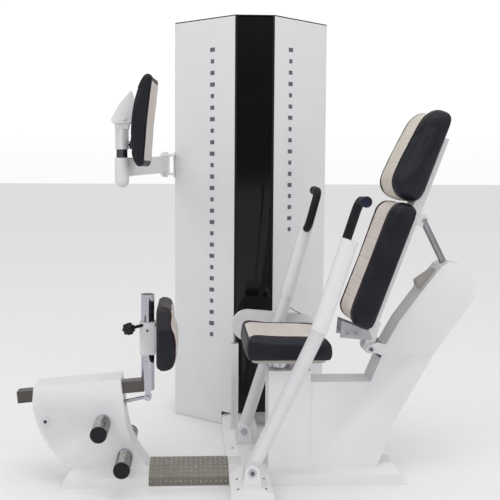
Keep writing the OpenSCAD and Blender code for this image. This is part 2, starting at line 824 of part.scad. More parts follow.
// link from the fork under the post back into the housing
module link_rod() {
    d = [-478, 296] - [knee_x, 316];
    color(chrome) {
        difference() {
            union() {
                y_rod(knee_x, 316, 30, -9, 9, 64);
                translate([knee_x, 0, 316]) rotate([0, atan2(d[0], d[1]), 0]) cylinder(d = 13, h = 165, $fn = 48);
            }
            y_rod(knee_x, 316, 10.1, -40, 40, 48);
        }
        y_rod(knee_x, 316, 10, -20, 20, 48);
        y_rod(knee_x, 316, 18, -24, -20, 6);
    }
}

sleeve_low = 483;
module knee_sleeve() {
    color(white) difference() {
        translate([knee_x, 0, sleeve_low]) round_block(59, 59, 122, 4);
        translate([knee_x, 0, 0]) cylinder(d = knee_post_d + 0.12, h = 900, $fn = 96);
        translate([knee_x, 0, 595]) knob_axis() translate([0, 0, 20]) cylinder(d = 12.1, h = 40, $fn = 48);
    }
    color(white) translate([knee_x + 29.5, -30, 500]) cube([6, 60, 90]);
}

module knob_axis() { rotate([0, 0, 234]) rotate([0, 90, 0]) children(); }

module star_knob() {
    translate([knee_x, 0, 595]) knob_axis() {
        color(chrome) translate([0, 0, knee_post_d / 2 + 1]) cylinder(d = 12, h = 72, $fn = 48);
        color(black) translate([0, 0, 98]) difference() {
            cylinder(r = 22, h = 22, $fn = 64);
            for (i = [0:6]) rotate([0, 0, i * 360 / 7]) translate([26, 0, -1])
                cylinder(r = 8, h = 40, $fn = 32);
        }
    }
}

module knee_pad() {
    color(leather) translate([-344 + 0.3, 0, 561]) rotate([0, 90, 0]) {
        round_block(246, 260, 52, 50);
        translate([0, 0, 52]) round_block(196, 210, 26, 46);
    }
}

module foot_pegs() {
    for (p = peg_places) {
        color(chrome) {
            for (s = [-1, 1]) y_rod(p[0], p[1], peg_d, s > 0 ? housing_half : -housing_half - peg_reach + 8,
                s > 0 ? housing_half + peg_reach - 8 : -housing_half, 64);
            y_rod(p[0], p[1], 23.6, -housing_half, housing_half, 48);
        }
        color(black) for (s = [-1, 1]) y_rod(p[0], p[1], peg_d, s > 0 ? housing_half + peg_reach - 8 :
            -housing_half - peg_reach, s > 0 ? housing_half + peg_reach : -housing_half - peg_reach + 8, 64);
    }
}

pin_x = -340;
pin_y = 700;

// hinge lugs bolted to the tower's left side
module chest_hinge() {
    wall_x = tower_x - tower_half;
    color(white) {
        for (z = [1150, 1238]) difference() {
            union() {
                translate([pin_x, pin_y, z]) cylinder(d = 44, h = 12, $fn = 64);
                translate([pin_x, 700 - 14, z]) cube([wall_x - pin_x, 90, 12]);
            }
            translate([pin_x, pin_y, z - 1]) cylinder(d = 16.04, h = 20, $fn = 48);
            linear_extrude(1600) polygon(tower_outline(0));
        }
        translate([wall_x - 8, 752, 1140]) cube([7.9, 60, 120]);
    }
    color(chrome) translate([pin_x, pin_y, 1142]) {
        cylinder(d = 16, h = 116, $fn = 48);
        cylinder(d = 26, h = 8, $fn = 6);
        translate([0, 0, 108]) cylinder(d = 26, h = 8, $fn = 6);
    }
}

module chest_arm() {
    d = [chest_x - pin_x, -pin_y];
    l = norm(d);
    color(white) difference() {
        union() {
            translate([pin_x, pin_y, 1163]) cylinder(d = 44, h = 74, $fn = 64);
            translate([pin_x, pin_y, 1200]) rotate([0, 0, atan2(d[1], d[0])])
                rotate([90, 0, 0]) translate([0, 0, -16]) linear_extrude(32)
                    polygon([[10, -37], [10, 37], [l - 10, 19], [l - 10, -50]]);
            translate([chest_x, 0, 1134]) cylinder(d = 52, h = 85, $fn = 96);
            translate([chest_x, 0, 1134]) intersection() {
                sphere(d = 52, $fn = 96);
                translate([-40, -40, -30]) cube([80, 80, 30]);
            }
        }
        translate([pin_x, pin_y, 1100]) cylinder(d = 16.1, h = 200, $fn = 48);
        translate([chest_x, 0, 1140]) cylinder(d = chest_d + 0.1, h = 200, $fn = 96);
    }
}

module chest_post() {
    color(chrome) {
        translate([chest_x, 0, 1145]) cylinder(d = chest_d, h = 164, $fn = 96);
    }
}

// collar that slides and turns on the post and carries the pad's bracket
module chest_collar() {
    color(white) {
        difference() {
            translate([chest_x, 0, 1250]) cylinder(d = chest_d + 9, h = 76, $fn = 96);
            translate([chest_x, 0, 1200]) cylinder(d = chest_d + 0.12, h = 110, $fn = 96);
            translate([chest_x, 0, 1267]) rotate([0, 90, 0]) cylinder(d = 10.1, h = 60, $fn = 48);
        }
        difference() {
            for (s = [-1, 1]) translate([0, s * 21, 0]) slab(-3, 3,
                [[-498, 1324], [-450, 1324], [-444, 1350], [-446, 1380], [-463, 1388], [-498, 1372]]);
            y_rod(-463, 1362, 8.04, -40, 40, 48);
        }
    }
}

module clamp_knob() {
    translate([chest_x, 0, 1267]) rotate([0, 90, 0]) {
        color(chrome) translate([0, 0, chest_d / 2 + 0.2]) cylinder(d = 10, h = 8, $fn = 48);
        color(black) translate([0, 0, 28]) cylinder(d = 30, h = 10, $fn = 48);
    }
}

// wing plates on a cross bolt with the pad's back plate
module chest_bracket() {
    color(white) {
        difference() {
            for (s = [-1, 1]) translate([0, s * 27.4, 0]) slab(-3, 3,
                [[-512, 1357], [-505, 1344], [-446, 1346], [-426, 1352], [-421, 1398], [-437, 1466], [-483, 1412]]);
            y_rod(-463, 1362, 8.04, -40, 40, 48);
        }
        pad_tilt() translate([-6, -34, -70]) cube([5.7, 68, 150]);
    }
    color(chrome) {
        y_rod(-463, 1362, 8, -34, 34, 48);
        for (s = [-1, 1]) y_rod(-463, 1362, 14, s * 34 - 3, s * 34 + 3, 6);
    }
}

module pad_tilt() { translate([-424, 0, 1357]) rotate([0, 4.9, 0]) children(); }

module chest_pad() {
    color(leather) pad_tilt() rotate([0, 90, 0]) {
        round_block(344, 210, 46, 40);
        translate([0, 0, 46]) round_block(314, 180, 14, 40);
    }
}

main_rail();
cross_beam();
floor_pads();
tread_plate();
tower_left_panel();
tower_right_panel();
tower_window();
tower_trims();
tower_base();
cross_head();
guide_rods();
stack_bumpers();
weight_plates();
lift_plates();
selector_stem();
selector_pin();
top_pulley();
front_base_pulley();
rear_base_pulley();
guard_big_pulley();
guard_small_pulley();
pulley_axles();
lift_cable();
stack_cable();
pulley_guard();
cable_channel();
arm_brackets();
pivot_bolts();
near_arm_tube();
near_sleeve();
near_grip();
far_arm_tube();
far_sleeve();
far_grip();
seat_shell();
seat_column();
seat_post();
seat_board();
seat_cushion();
backrest_frame();
backrest_bracket();
backrest_cushion();
headrest_cushion();
recline_strut();
latch_cover();
peg_housing();
slide_tube();
knee_post();
knee_sleeve();
star_knob();
knee_pad();
link_rod();
foot_pegs();
chest_hinge();
chest_arm();
chest_post();
chest_collar();
clamp_knob();
chest_bracket();
chest_pad();
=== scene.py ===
import bpy, bmesh, math
from mathutils import Vector, Matrix, noise
from mathutils.bvhtree import BVHTree


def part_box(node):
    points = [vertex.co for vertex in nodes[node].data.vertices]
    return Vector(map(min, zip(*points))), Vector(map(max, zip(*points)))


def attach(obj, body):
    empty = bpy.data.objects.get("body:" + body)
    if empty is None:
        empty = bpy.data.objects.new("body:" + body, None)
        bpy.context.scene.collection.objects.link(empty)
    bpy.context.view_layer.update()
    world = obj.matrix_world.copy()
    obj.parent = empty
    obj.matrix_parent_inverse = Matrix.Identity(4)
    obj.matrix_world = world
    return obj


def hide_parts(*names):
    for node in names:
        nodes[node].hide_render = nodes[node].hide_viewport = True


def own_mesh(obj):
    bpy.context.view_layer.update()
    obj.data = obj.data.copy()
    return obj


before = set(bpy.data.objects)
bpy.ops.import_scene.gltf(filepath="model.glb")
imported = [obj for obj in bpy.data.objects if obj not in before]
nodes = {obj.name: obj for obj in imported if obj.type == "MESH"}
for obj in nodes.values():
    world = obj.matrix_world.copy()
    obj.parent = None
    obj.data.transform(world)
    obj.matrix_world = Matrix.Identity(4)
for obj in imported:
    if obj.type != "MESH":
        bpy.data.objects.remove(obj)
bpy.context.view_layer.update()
scene = bpy.context.scene
MM = 0.001


# ---------------------------------------------------------------- materials
def material(name, color, rough, metal=0.0, coat=0.0, coat_rough=0.1, vary=0.06, vary_scale=9.0,
             rough_vary=0.06, bump_scale=None, bump=0.0, dust=0.0, edge=0.0, spec=None, sheen=0.0,
             weave=None, ior=None):
    """Paint, metal or rubber: soft colour drift, roughness drift, grain in the bump, and convex edges painted
    lighter: a painted highlight on the paints, on the metals partly worn edges.
    """
    m = bpy.data.materials.new(name)
    m.use_nodes = True
    nt = m.node_tree
    b = nt.nodes["Principled BSDF"]
    b.inputs["Metallic"].default_value = metal
    b.inputs["Coat Weight"].default_value = coat
    b.inputs["Coat Roughness"].default_value = coat_rough
    if spec is not None:
        b.inputs["Specular IOR Level"].default_value = spec
    if ior is not None:
        b.inputs["IOR"].default_value = ior
    if sheen:
        b.inputs["Sheen Weight"].default_value = sheen
        b.inputs["Sheen Roughness"].default_value = 0.4
    tc = nt.nodes.new("ShaderNodeTexCoord")
    big = nt.nodes.new("ShaderNodeTexNoise")
    big.inputs["Scale"].default_value = vary_scale
    big.inputs["Detail"].default_value = 4
    nt.links.new(tc.outputs["Object"], big.inputs["Vector"])
    ramp = nt.nodes.new("ShaderNodeValToRGB")
    lo = [c * (1 - vary) for c in color]
    hi = [min(1, c * (1 + vary)) for c in color]
    ramp.color_ramp.elements[0].position = 0.3
    ramp.color_ramp.elements[1].position = 0.7
    ramp.color_ramp.elements[0].color = (*lo, 1)
    ramp.color_ramp.elements[1].color = (*hi, 1)
    nt.links.new(big.outputs["Fac"], ramp.inputs["Fac"])
    colour = ramp.outputs["Color"]
    if dust:
        geo = nt.nodes.new("ShaderNodeNewGeometry")
        sep = nt.nodes.new("ShaderNodeSeparateXYZ")
        nt.links.new(geo.outputs["Normal"], sep.inputs["Vector"])
        spot = nt.nodes.new("ShaderNodeTexNoise")
        spot.inputs["Scale"].default_value = 55
        spot.inputs["Detail"].default_value = 6
        nt.links.new(tc.outputs["Object"], spot.inputs["Vector"])
        up = nt.nodes.new("ShaderNodeMath")
        up.operation = "MULTIPLY"
        up.use_clamp = True
        nt.links.new(sep.outputs["Z"], up.inputs[0])
        nt.links.new(spot.outputs["Fac"], up.inputs[1])
        amount = nt.nodes.new("ShaderNodeMath")
        amount.operation = "MULTIPLY"
        amount.inputs[1].default_value = dust
        nt.links.new(up.outputs[0], amount.inputs[0])
        mix = nt.nodes.new("ShaderNodeMix")
        mix.data_type = "RGBA"
        mix.inputs["B"].default_value = (0.55, 0.53, 0.5, 1)
        nt.links.new(amount.outputs[0], mix.inputs["Factor"])
        nt.links.new(colour, mix.inputs["A"])
        colour = mix.outputs["Result"]
    # convex edges mixed toward a lighter colour: a painted highlight along the rounded edges, on the metals
    # partly worn edges
    if edge:
        geo2 = nt.nodes.new("ShaderNodeNewGeometry")
        edge_highlight_and_wear_ramp = nt.nodes.new("ShaderNodeValToRGB")
        edge_highlight_and_wear_ramp.color_ramp.elements[0].position = 0.52
        edge_highlight_and_wear_ramp.color_ramp.elements[1].position = 0.62
        nt.links.new(geo2.outputs["Pointiness"], edge_highlight_and_wear_ramp.inputs["Fac"])
        sc = nt.nodes.new("ShaderNodeMath")
        sc.operation = "MULTIPLY"
        sc.inputs[1].default_value = edge
        nt.links.new(edge_highlight_and_wear_ramp.outputs["Color"], sc.inputs[0])
        edge_highlight_and_wear_mix = nt.nodes.new("ShaderNodeMix")
        edge_highlight_and_wear_mix.data_type = "RGBA"
        edge_highlight_and_wear_mix.inputs["B"].default_value = (*[min(1, c * 1.5 + 0.12) for c in color], 1)
        nt.links.new(sc.outputs[0], edge_highlight_and_wear_mix.inputs["Factor"])
        nt.links.new(colour, edge_highlight_and_wear_mix.inputs["A"])
        colour = edge_highlight_and_wear_mix.outputs["Result"]
    nt.links.new(colour, b.inputs["Base Color"])
    fine = nt.nodes.new("ShaderNodeTexNoise")
    fine.inputs["Scale"].default_value = 28
    fine.inputs["Detail"].default_value = 5
    nt.links.new(tc.outputs["Object"], fine.inputs["Vector"])
    rr = nt.nodes.new("ShaderNodeMapRange")
    rr.inputs["To Min"].default_value = max(0.02, rough - rough_vary)
    rr.inputs["To Max"].default_value = rough + rough_vary
    nt.links.new(fine.outputs["Fac"], rr.inputs["Value"])
    nt.links.new(rr.outputs["Result"], b.inputs["Roughness"])
    if bump_scale:
        if weave == "leather":
            tex = nt.nodes.new("ShaderNodeTexVoronoi")
            tex.feature = "DISTANCE_TO_EDGE"
            tex.inputs["Scale"].default_value = bump_scale
            out = tex.outputs["Distance"]
            wr = nt.nodes.new("ShaderNodeTexNoise")
            wr.inputs["Scale"].default_value = 22
            wr.inputs["Detail"].default_value = 8
            nt.links.new(tc.outputs["Object"], wr.inputs["Vector"])
            add = nt.nodes.new("ShaderNodeMath")
            add.operation = "MULTIPLY_ADD"
            add.inputs[1].default_value = 0.9
            nt.links.new(wr.outputs["Fac"], add.inputs[0])
            nt.links.new(out, add.inputs[2])
            out = add.outputs[0]
        elif weave == "brushed":
            tex = nt.nodes.new("ShaderNodeTexNoise")
            mp = nt.nodes.new("ShaderNodeMapping")
            mp.inputs["Scale"].default_value = (1, 1, 30)
            nt.links.new(tc.outputs["Object"], mp.inputs["Vector"])
            tex.inputs["Scale"].default_value = bump_scale
            out = tex.outputs["Fac"]
            nt.links.new(mp.outputs["Vector"], tex.inputs["Vector"])
        else:
            tex = nt.nodes.new("ShaderNodeTexNoise")
            tex.inputs["Scale"].default_value = bump_scale
            tex.inputs["Detail"].default_value = 3
            out = tex.outputs["Fac"]
        if weave != "brushed":
            nt.links.new(tc.outputs["Object"], tex.inputs["Vector"])
        bp = nt.nodes.new("ShaderNodeBump")
        bp.inputs["Strength"].default_value = bump
        bp.inputs["Distance"].default_value = 0.001
        nt.links.new(out, bp.inputs["Height"])
        nt.links.new(bp.outputs["Normal"], b.inputs["Normal"])
    return m


M = {
    "white": material("white_paint", (0.60, 0.595, 0.615), 0.33, coat=0.35, vary=0.03, bump_scale=650,
                      bump=0.12,
                      edge=0.3),
    "panel": material("panel_paint", (0.545, 0.54, 0.555), 0.40, coat=0.25, vary=0.025, bump_scale=700,
                      bump=0.12,
                      edge=0.3),
    "cream_paint": material("beam_paint", (0.575, 0.57, 0.565), 0.38, coat=0.25, vary=0.04, bump_scale=600,
                            bump=0.14, dust=0.25, edge=0.35),
    "rubber": material("rubber", (0.010, 0.011, 0.013), 0.62, spec=0.25, vary=0.3, vary_scale=30,
                       bump_scale=900, bump=0.35),
    "grip": material("grip_foam", (0.007, 0.0075, 0.010), 0.5, spec=0.22, vary=0.25, vary_scale=40,
                     bump_scale=1400, bump=0.5),
    "grip_cap": material("grip_cap", (0.010, 0.012, 0.03), 0.32, spec=0.3, vary=0.2, bump_scale=500,
                         bump=0.1),
    "tread_bar": material("tread_bars", (0.42, 0.41, 0.36), 0.34, metal=0.8, vary=0.2, vary_scale=60,
                          bump_scale=400, bump=0.3, dust=0.2),
    "tread": material("tread_metal", (0.115, 0.108, 0.085), 0.48, metal=0.6, vary=0.3, vary_scale=30,
                      bump_scale=400, bump=0.3, dust=0.35, edge=0.5),
    "pane": material("smoked_pane", (0.0035, 0.004, 0.0045), 0.09, spec=0.28, vary=0.15,
                     rough_vary=0.02, bump_scale=3, bump=0.02),
    "trim": material("black_trim", (0.008, 0.008, 0.011), 0.4, spec=0.25, vary=0.2, vary_scale=40,
                     bump_scale=500, bump=0.15),
    "steel": material("grey_steel", (0.33, 0.33, 0.35), 0.34, metal=0.8, vary=0.1, vary_scale=25,
                      bump_scale=300,
                      bump=0.15, edge=0.4),
    "strut": material("strut_steel", (0.36, 0.35, 0.37), 0.30, metal=0.9, vary=0.12, vary_scale=18,
                      bump_scale=160, bump=0.2, weave="brushed"),
    "knurl": material("knurled_chrome", (0.40, 0.39, 0.38), 0.28, metal=1.0, vary=0.35, vary_scale=120,
                      rough_vary=0.1,
                      bump_scale=300, bump=0.4),
    # chrome with its base colour darkened to stand in for the dark surroundings it reflects: a painted dark
    # reflection on the slide tube
    "chrome_painted_dark_reflection": material("chrome_painted_dark_reflection", (0.11, 0.10, 0.095), 0.16, metal=1.0, vary=0.15, vary_scale=14,
                            rough_vary=0.04,
                            bump_scale=40, bump=0.02, dust=0.8),
    "chrome": material("chrome", (0.50, 0.50, 0.56), 0.10, metal=1.0, vary=0.06, vary_scale=20,
                       rough_vary=0.04,
                       bump_scale=40, bump=0.015),
    "iron": material("cast_iron", (0.035, 0.035, 0.038), 0.6, metal=0.3, vary=0.25, vary_scale=40,
                     bump_scale=350,
                     bump=0.6, edge=0.5),
    "board": material("painted_board", (0.50, 0.47, 0.43), 0.5, vary=0.06, vary_scale=25, bump_scale=300,
                      bump=0.2),
    "beige": material("beige_plastic", (0.36, 0.33, 0.30), 0.45, vary=0.05, bump_scale=500, bump=0.2),
    "navy": material("navy_leather", (0.0065, 0.0068, 0.0125), 0.44, spec=0.3, vary=0.3,
                     vary_scale=12, rough_vary=0.06, bump_scale=420, bump=0.22, weave="leather"),
    "cream": material("cream_leather", (0.56, 0.51, 0.475), 0.5, vary=0.06, vary_scale=14, bump_scale=520,
                      bump=0.22, weave="leather"),
    "cream2": material("headrest_leather", (0.57, 0.52, 0.455), 0.5, vary=0.06, vary_scale=14, bump_scale=520,
                       bump=0.22, weave="leather"),
    # near-black leather painted a lighter grey: a painted sheen standing in for the light the black end wraps
    # catch
    "painted_sheen_leather": material("painted_sheen_leather", (0.022, 0.022, 0.027), 0.45, spec=0.3, vary=0.15, vary_scale=14,
                             bump_scale=420, bump=0.28, weave="leather"),
    "piping": material("dark_red_piping", (0.045, 0.010, 0.012), 0.42, vary=0.2, vary_scale=60,
                       bump_scale=900,
                       bump=0.3),
    "dark_piping": material("dark_piping", (0.010, 0.009, 0.012), 0.42, vary=0.2, vary_scale=60,
                            bump_scale=900,
                            bump=0.3),
    "bars": material("bar_marks", (0.10, 0.10, 0.12), 0.5, vary=0.1, vary_scale=60, bump_scale=900, bump=0.1),
    "screw": material("dark_screws", (0.12, 0.12, 0.13), 0.35, metal=0.8, vary=0.1, vary_scale=60,
                      bump_scale=600,
                      bump=0.2),
}

LOOK = {
    "cream_paint": "main_rail cross_beam",
    "panel": "tower_left_panel tower_right_panel tower_base",
    "white": "pulley_guard cable_channel arm_brackets near_arm_tube near_sleeve far_arm_tube far_sleeve "
             "seat_shell seat_column backrest_frame peg_housing knee_sleeve "
             "chest_hinge chest_arm chest_collar chest_bracket",
    "rubber": "floor_pads stack_bumpers",
    "grip": "near_grip far_grip",
    "tread": "tread_plate",
    "pane": "tower_window",
    "trim": "tower_trims star_knob clamp_knob top_pulley front_base_pulley rear_base_pulley "
            "guard_big_pulley guard_small_pulley",
    "steel": "cross_head backrest_bracket lift_cable stack_cable",
    "strut": "recline_strut",
    "chrome": "guide_rods selector_stem selector_pin pulley_axles pivot_bolts seat_post knee_post "
              "link_rod chest_post",
    "chrome_painted_dark_reflection": "slide_tube",
    "iron": "weight_plates lift_plates",
    "board": "seat_board",
    "beige": "latch_cover",
}
BEVEL = {"main_rail": 2.5, "cross_beam": 2.5, "tower_base": 1.5, "seat_column": 4,
         "pulley_guard": 4, "cable_channel": 3, "arm_brackets": 1.2, "seat_shell": 7, "backrest_frame": 2,
         "peg_housing": 7, "knee_sleeve": 1.5, "chest_hinge": 1.5, "chest_arm": 4, "chest_bracket": 1,
         "chest_collar": 1, "slide_tube": 2, "tower_trims": 0.8, "latch_cover": 4,
         "seat_board": 2, "backrest_bracket": 1, "weight_plates": 1.5, "lift_plates": 1.5, "cross_head": 1,
         "star_knob": 1.5, "clamp_knob": 1.5, "near_sleeve": 0.8, "far_sleeve": 0.8, "near_grip": 1.0,
         "far_grip": 1.0, "tread_plate": 1.0, "chest_post": 0.8, "knee_post": 0.8}
for look, names in LOOK.items():
    for n in names.split():
        o = nodes[n]
        o.data.materials.clear()
        o.data.materials.append(M[look])
        for f in o.data.polygons:
            f.use_smooth = True
            f.material_index = 0
        if n in BEVEL:
            d = o.modifiers.new("merge", "DECIMATE")
            d.decimate_type = "DISSOLVE"
            d.angle_limit = math.radians(0.6)
            bv = o.modifiers.new("bevel", "BEVEL")
            bv.width = BEVEL[n] * MM
            bv.segments = 3
            bv.limit_method = "ANGLE"
            bv.angle_limit = math.radians(38)
            bv.harden_normals = False
        wn = o.modifiers.new("edges", "EDGE_SPLIT")
        wn.split_angle = math.radians(36)


trims = nodes["tower_trims"]
trims.data.materials.append(M["panel"])
roof_z = max(v.co.z for v in trims.data.vertices)
for f in trims.data.polygons:
    if f.normal.z > 0.9 and f.center.z > roof_z - 0.001:
        f.material_index = 1


def finish_mesh(name, bm, mat, body, smooth=True, split=None):
    me = bpy.data.meshes.new(name)
    bm.to_mesh(me)
    bm.free()
    o = bpy.data.objects.new(name, me)
    scene.collection.objects.link(o)
    for m in mat if isinstance(mat, (list, tuple)) else [mat]:
        me.materials.append(m)
    if smooth:
        for p in me.polygons:
            p.use_smooth = True
    if split:
        s = o.modifiers.new("edges", "EDGE_SPLIT")
        s.split_angle = math.radians(split)
    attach(o, body)
    return o


# ---------------------------------------------------------------- padded pieces
def rounded_box(size, r_top, r_end, r_side, cells=30):
    """A closed box with h from 0, rounded at the ends and sides of its front face."""
    L, W, H = size
    bm = bmesh.new()
    bmesh.ops.create_cube(bm, size=2)
    bmesh.ops.subdivide_edges(bm, edges=bm.edges[:], cuts=cells, use_grid_fill=True)
    for v in bm.verts:
        x, y, z = v.co
        rx, ry, rz = r_end, r_side, (r_top if z > 0 else min(r_top, 0.012))
        hx, hy, hz = L / 2, W / 2, H / 2
        cx, cy, cz = hx - rx, hy - ry, hz - rz
        px, py, pz = x * hx, y * hy, z * hz
        qx, qy, qz = (max(-cx, min(cx, px)), max(-cy, min(cy, py)), max(-cz, min(cz, pz)))
        d = Vector(((px - qx) / rx, (py - qy) / ry, (pz - qz) / rz))
        if d.length > 1e-9:
            m = max(abs(d.x), abs(d.y), abs(d.z))
            d = d.normalized() * m
        v.co = (qx + d.x * rx, qy + d.y * ry, qz + d.z * rz + hz)
    return bm


def simulate(bm, name, voxel, cap, frames=20, pressure=4.0):
    """Blows the pad up as cloth, keeping its back flat, and returns the mesh data."""
    me = bpy.data.meshes.new(name + "_soft")
    bm.to_mesh(me)
    bm.free()
    o = bpy.data.objects.new(name + "_soft", me)
    scene.collection.objects.link(o)
    rm = o.modifiers.new("voxel", "REMESH")
    rm.mode = "VOXEL"
    rm.voxel_size = voxel
    dg = bpy.context.evaluated_depsgraph_get()
    flat = bpy.data.meshes.new_from_object(o.evaluated_get(dg))
    o.modifiers.clear()
    o.data = flat
    rest = [v.co.copy() for v in flat.vertices]
    g = o.vertex_groups.new(name="pin")
    g.add([i for i, c in enumerate(rest) if c.z < 0.004], 1.0, "REPLACE")
    c = o.modifiers.new("cloth", "CLOTH")
    s = c.settings
    s.quality = 5
    s.mass = 0.3
    s.tension_stiffness = 12
    s.compression_stiffness = 12
    s.shear_stiffness = 6
    s.bending_stiffness = 2.0
    s.use_pressure = True
    s.uniform_pressure_force = pressure
    s.vertex_group_mass = "pin"
    s.effector_weights.gravity = 0
    c.collision_settings.use_collision = False
    c.collision_settings.use_self_collision = False
    c.point_cache.frame_start = 1
    c.point_cache.frame_end = frames
    for f in range(1, frames + 1):
        scene.frame_set(f)
    dg = bpy.context.evaluated_depsgraph_get()
    soft = bpy.data.meshes.new_from_object(o.evaluated_get(dg))
    pts = [v.co.copy() for v in soft.vertices]
    scene.frame_set(1)
    o.modifiers.clear()
    for i, p in enumerate(pts):
        d = p - rest[i]
        if d.length > cap:
            d = d.normalized() * cap
        flat.vertices[i].co = rest[i] + d
    bm = bmesh.new()
    bm.from_mesh(o.data)
    bpy.data.objects.remove(o)
    soft = [v for v in bm.verts if v.co.z > 0.004]
    for _ in range(SMOOTH_PASSES):
        bmesh.ops.smooth_vert(bm, verts=soft, factor=0.5, use_axis_x=True, use_axis_y=True, use_axis_z=True)
    return bm


def tube(points, r, sides=8, closed=False):
    """A round tube along points, as bmesh."""
    bm = bmesh.new()
    rings = []
    n = len(points)
    up = None
    for i, p in enumerate(points):
        a = points[(i - 1) % n] if (closed or i > 0) else points[0]
        b = points[(i + 1) % n] if (closed or i < n - 1) else points[-1]
        t = (b - a).normalized()
        if up is None:
            up = t.orthogonal().normalized()
        up = (up - t * up.dot(t)).normalized()
        s = t.cross(up)
        rings.append([bm.verts.new(p + up * r * math.cos(k * 2 * math.pi / sides)
                                   + s * r * math.sin(k * 2 * math.pi / sides)) for k in range(sides)])
    for i in range(n if closed else n - 1):
        q, w = rings[i], rings[(i + 1) % n]
        for k in range(sides):
            bm.faces.new((q[k], q[(k + 1) % sides], w[(k + 1) % sides], w[k]))
    if not closed:
        bm.faces.new(rings[0][::-1])
        bm.faces.new(rings[-1])
    return bm


def outline(bvh, v, L, H, inset=0.0, n=60):
    """Points of the pad's surface at v, from its lower end over the front to its upper end."""
    pts = []
    c = Vector((0, v, H * 0.35))
    for i in range(n + 1):
        a = math.radians(-16 + 212 * i / n)
        d = Vector((math.cos(a) * L / H, 0, math.sin(a))).normalized()
        hit = bvh.ray_cast(c + d * 1.0, -d)
        if hit[0]:
            pts.append(hit[0] - hit[1] * inset)
    return pts


def even(points, step):
    out = [points[0]]
    for p in points[1:]:
        while (p - out[-1]).length >= step:
            out.append(out[-1] + (p - out[-1]).normalized() * step)
    out.append(points[-1])
    return out


SMOOTH_PASSES = 8        # after the cloth simulation, so the cover lies taut
SEAM_WIDTH = 0.0055      # m, how far a seam pulls the cover in to each side
TUCK_WIDTH = 0.0035      # m, the same for a stitched channel
WRINKLE = 0.0004         # m
FLAT_BACK = 0.003        # m, the height below which a pad stays flat on its board


def pad(name, node, body, place, size, radii, seam, tucks=(), panel="cream", side="navy", piping="piping",
        seam_depth=0.0022, tuck_depth=0.0022, cap=0.010, voxel=0.006, taper=None,
        ends=None, upper=None, capped=False):
    L, W, H = size
    bm = rounded_box((L, W, H), *radii)
    if taper:
        for v in bm.verts:
            v.co = taper(v.co)
    bm = simulate(bm, name, voxel, cap)
    bmesh.ops.subdivide_edges(bm, edges=bm.edges[:], cuts=1, use_grid_fill=True, smooth=0.6)
    bmesh.ops.recalc_face_normals(bm, faces=bm.faces[:])
    bm.normal_update()
    moves = []
    for v in bm.verts:
        u, w, h = v.co
        front = max(0.0, min(1.0, (h - 0.35 * H) / (0.25 * H)))
        endf = max(0.0, min(1.0, (abs(u) - (L / 2 - 0.03)) / 0.02))
        on = max(front, endf)
        dist = abs(abs(w) - seam)
        d = seam_depth * math.exp(-(dist / SEAM_WIDTH) ** 2) * on
        if abs(w) < seam:
            for t in tucks:
                k = math.exp(-((u - t) / TUCK_WIDTH) ** 2)
                d = max(d, tuck_depth * k * front * min(1, (seam - abs(w)) / 0.004 + 0.4))
        wr = noise.noise(Vector((u * 28, w * 28, h * 28))) * WRINKLE
        wr += noise.noise(Vector((u * 9 + 5, w * 70, h * 20))) * WRINKLE * math.exp(-(dist / 0.025) ** 2)
        if h < FLAT_BACK:
            d = 0
            wr = 0
        moves.append(v.normal * (wr - d))
    for v, m in zip(bm.verts, moves):
        v.co += m
    # the third material is that lighter grey, a painted sheen, on the pad ends and on the knee pad's upper
    # part
    mats = [M[side], M[panel], M[ends or "painted_sheen_leather"]]
    for f in bm.faces:
        c = f.calc_center_median()
        inside = abs(c.y) < seam and (c.z > 0.3 * H or abs(c.x) > L / 2 - 0.03) and c.z > 0.006
        f.material_index = 1 if inside else 0
        if ends and inside and abs(c.x) > L / 2 - 0.028:
            f.material_index = 2
        if capped and inside and (abs(c.x) > L / 2 - radii[1] * 0.55 or f.normal.z < 0.4):
            f.material_index = 2 if upper is not None and c.x > upper else 0
        if upper is not None and not inside and c.x > upper:
            f.material_index = 2
    bm.normal_update()
    bvh = BVHTree.FromBMesh(bm)
    pipes = []
    for s in (-1, 1):
        line = outline(bvh, s * seam, L, H, inset=-0.0012)
        if len(line) > 8:
            pipes.append(tube([place @ p for p in even(line, 0.006)], 0.0026))
    bmesh.ops.transform(bm, matrix=place, verts=bm.verts)
    if place.to_3x3().determinant() < 0:
        bmesh.ops.reverse_faces(bm, faces=bm.faces[:])
    o = finish_mesh(name, bm, mats, body)
    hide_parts(node)
    for i, p in enumerate(pipes):
        finish_mesh(f"{name}_piping_{i + 1}", p, M[piping], body)
    return o


def basis(origin, u, v, h):
    m = Matrix.Identity(4)
    for i in range(3):
        m[i][0], m[i][1], m[i][2], m[i][3] = u[i], v[i], h[i], origin[i]
    return m


rec = math.radians(20.2)
up_b = Vector((math.sin(rec), 0, math.cos(rec)))
out_b = Vector((-math.cos(rec), 0, math.sin(rec)))
back0 = Vector((0.440, 0, 0.583))
Y = Vector((0, 1, 0))
X = Vector((1, 0, 0))
Z = Vector((0, 0, 1))


def seat_shape(co):
    # the front edge of the seat stands a little higher than the rear one
    u, w, h = co
    lift = 0.012 * max(0, (-u) / 0.161) ** 2 - 0.010 * max(0, u / 0.161) ** 2
    return Vector((u, w, h + lift * h / 0.078))


pad("seat_pad", "seat_cushion", "seat", basis((0.139, 0, 0.4925), X, Y, Z), (0.314, 0.356, 0.074),
    (0.020, 0.024, 0.022), 0.122, tucks=(-0.078, 0.0, 0.078), taper=seat_shape, cap=0.005, capped=True)
pad("back_pad", "backrest_cushion", "backrest", basis(back0 + up_b * 0.246, up_b, Y, out_b),
    (0.490, 0.292, 0.086), (0.034, 0.050, 0.036), 0.088, tucks=(-0.156, -0.078, 0.0, 0.078, 0.156), cap=0.005)


def head_shape(c):
    # fuller towards its lower third, thin towards the top
    k = c.x / 0.17
    return Vector((c.x, c.y, c.z * (1.02 - 0.17 * k - 0.08 * k * k)))


